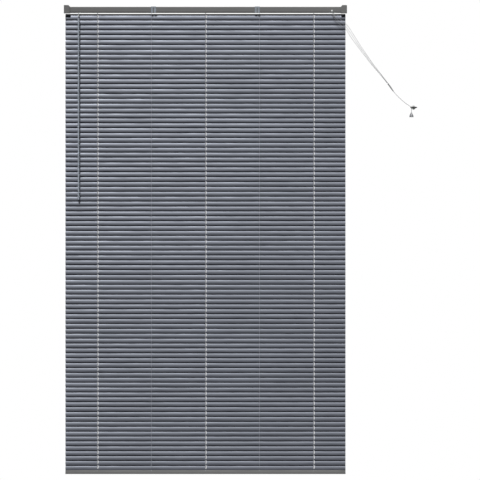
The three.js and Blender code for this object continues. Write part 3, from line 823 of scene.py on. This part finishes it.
def make_wand_hook():
    """A wire ring round the worm shaft's neck, not quite closed, with a stem down to the wand's cap."""
    ring_radius, wire_radius, opening = 3.4, 0.7, math.radians(16)
    back = np.array([0, math.cos(WORM_LEAN), -math.sin(WORM_LEAN)])
    centre = np.array([WAND_X, WAND_Y, WORM_Z])
    across = np.cross(WORM_AXIS, back)
    ring = []
    for i in range(41):
        turn = opening / 2 + i / 40 * (2 * math.pi - opening)
        ring.append(centre + ring_radius * (math.cos(turn) * back + math.sin(turn) * across))
    foot = centre + ring_radius * back
    corners = [foot, (WAND_X, foot[1] + 0.3, -50), (WAND_X, WAND_Y, -53.4), (WAND_X, WAND_Y, -55.7)]
    stem = evenly(rounded(corners, 1.1, 5), 0.4)
    Shell().add(*sweep(ring, wire_radius, 14)).add(*sweep(stem, wire_radius, 14)).build(
        "wand_hook_wire", STEEL, "wand_swivel", "bare_steel", ["wand_hook"], 60)


make_wand_rod()
make_wand_cap()
make_wand_hook()


# ---------------------------------------------------------------- bottom rail
def rail_outline():
    """The rail's section: a crowned top over a shallow tray, with every corner eased."""
    half, steps = 12.5, 12
    shares = [1 - 2 * i / steps for i in range(steps + 1)]
    crowned = [(half * share, 5 - 2.6 * share ** 2) for share in shares]
    tray = [(-half, 0.6), (-11, -4), (-9.4, -5), (9.4, -5), (11, -4), (half, 0.6)]
    outline = [*rounded(tray, 0.9, 4), *crowned[1:-1], (-half, 2.4), (-half, 0.6)]
    return rounded([tuple(point) for point in outline], 0.35, 2, closed=True)


def make_bottom_rail():
    end = 597.4
    verts, faces = bar(rail_outline(), [(-end, 0.25), -597, *range(-560, 600, 80), 597, (end, 0.25)])
    Shell().add(tilted(verts, RAIL_Z), faces).build(
        "bottom_rail_tube", RAIL_PAINT, "rail", "painted_steel", ["bottom_rail"], 35)
    for side in SIDES:
        finish_node(f"bottom_rail_cap_{side}", GREY_PLASTIC, 0.6, 3)


def make_cord_plugs():
    """The buttons under the rail that hold the lift cords' knots, each with a dished middle."""
    profile = [(0, -8.0), (1.2, -8.0), (1.5, -7.4), (4.4, -7.4), (4.8, -8.2), (5.4, -8.2), (6.2, -7.9),
               (7, -7), (7, -5.3), (0, -5.3)]
    for name, x, _, _ in LIFT_CORDS:
        verts, faces = lathe(profile, (x, 0, 0), sides=40)
        Shell().add(tilted(verts, RAIL_Z), faces).build(
            f"cord_plug_{name}_button", GREY_PLASTIC, "rail", "grey_plastic", [f"cord_plug_{name}"], 30)


make_bottom_rail()
make_cord_plugs()


# ---------------------------------------------------------------- cleat and the works in the headrail
def make_cleat():
    """A wall cleat: a pale round base, and a dark post with two horns."""
    x, z, horn_y, reach, thickness = 892, -438, -18.5, 15.2, 3.0
    plate = [(0, 0), (9, 0), (9, 1), (8.7, 1.8), (8, 2.4), (6.4, 2.8), (5.6, 3), (0, 3)]
    Shell().add(*lathe(plate, (x, 0, z), (0, -1, 0), 64)).build(
        "cord_cleat_base", NYLON, "root", "white_nylon", (), 40)
    post = [(0, 2.9), (5.2, 2.95), (4.6, 3.9), (4.1, 5.4), (4, 7), (4, 17), (3, 18), (0, 18.2)]
    shares = [i / 16 - 1 for i in range(33)]
    horns = [(x + reach * share, horn_y, z) for share in shares]
    radii = [thickness * math.sqrt(max(1 - abs(share) ** 5, 0.03)) for share in shares]
    shell = Shell().add(*lathe(post, (x, 0, z), (0, -1, 0), 48)).add(*sweep(horns, radii, 20))
    shell.build("cord_cleat_horns", DARK_PLASTIC, "root", "dark_plastic", ["cord_cleat"], 40)


def finish_works():
    for i in range(1, len(LADDER_X) + 1):
        finish_node(f"cradle_{i}", NYLON, 0.3)
        finish_node(f"ladder_drum_{i}", NYLON, 0.2)
    finish_node("tilt_rod", STEEL, 0.3)
    finish_node("tilter_housing", NYLON, 0.35)
    finish_node("worm_gear", NYLON, 0.12)
    finish_node("worm_shaft", NYLON, 0.12)
    finish_node("cord_lock_body", NYLON, 0.35)
    finish_node("cord_lock_roller", STEEL, 0.3)


make_cleat()
finish_works()


# ---------------------------------------------------------------- studio
def make_floor():
    """A pale floor below the blind, reaching a little past the wall plane, in metres."""
    x, front, back, z = 4, -3, 1.1, -2.3
    mesh = bpy.data.meshes.new("floor")
    mesh.from_pydata([(-x, front, z), (x, front, z), (x, back, z), (-x, back, z)], [], [(0, 1, 2, 3)])
    floor = bpy.data.objects.new("floor", mesh)
    bpy.context.scene.collection.objects.link(floor)
    pale = Shader("pale_floor", Roughness=0.8)
    pale.colour(pale.mix(pale.remap(pale.noise(3), 0, 1), (0.8, 0.8, 0.8), (0.84, 0.84, 0.84)))
    mesh.materials.append(pale.material)


def make_world():
    """White behind the blind, but faint as a light, so that the lamps shape the slats."""
    as_light, as_backdrop = 0.03, 1.0
    world = bpy.data.worlds.new("studio")
    bpy.context.scene.world = world
    world.use_nodes = True
    nodes, links = world.node_tree.nodes, world.node_tree.links
    background = nodes["Background"]
    path = nodes.new("ShaderNodeLightPath")
    seen = nodes.new("ShaderNodeMapRange")
    seen.inputs["To Min"].default_value = as_light
    seen.inputs["To Max"].default_value = as_backdrop
    links.new(path.outputs["Is Camera Ray"], seen.inputs["Value"])
    links.new(seen.outputs["Result"], background.inputs["Strength"])
    background.inputs["Color"].default_value = (1, 1, 1, 1)


def make_sun(elevation, azimuth, energy, spread):
    """A distant lamp, with its angles in degrees. Azimuth 0 shines straight into the wall."""
    data = bpy.data.lights.new("key", "SUN")
    data.energy, data.angle = energy, math.radians(spread)
    light = bpy.data.objects.new("key", data)
    light.rotation_euler = (math.radians(90 - elevation), 0, math.radians(azimuth))
    bpy.context.scene.collection.objects.link(light)


def make_softbox(name, place, target, size, power):
    """An area lamp at place that faces target, in metres."""
    data = bpy.data.lights.new(name, "AREA")
    data.shape, data.size, data.size_y, data.energy = "RECTANGLE", size[0], size[1], power
    light = bpy.data.objects.new(name, data)
    light.location = place
    light.rotation_euler = (Vector(target) - Vector(place)).to_track_quat("-Z", "Y").to_euler()
    bpy.context.scene.collection.objects.link(light)


def make_studio():
    make_floor()
    make_world()
    make_sun(elevation=49, azimuth=-12, energy=2.5, spread=8)
    make_softbox("low_right", (2.6, -4.2, 0.55), (0.2, 0, -1.0), (1.2, 0.5), 14)
    make_softbox("rear", (0.6, 2.6, 0.9), (0, 0, -0.8), (1.6, 1.0), 30)
    bpy.context.scene.view_settings.view_transform = "Standard"


make_studio()
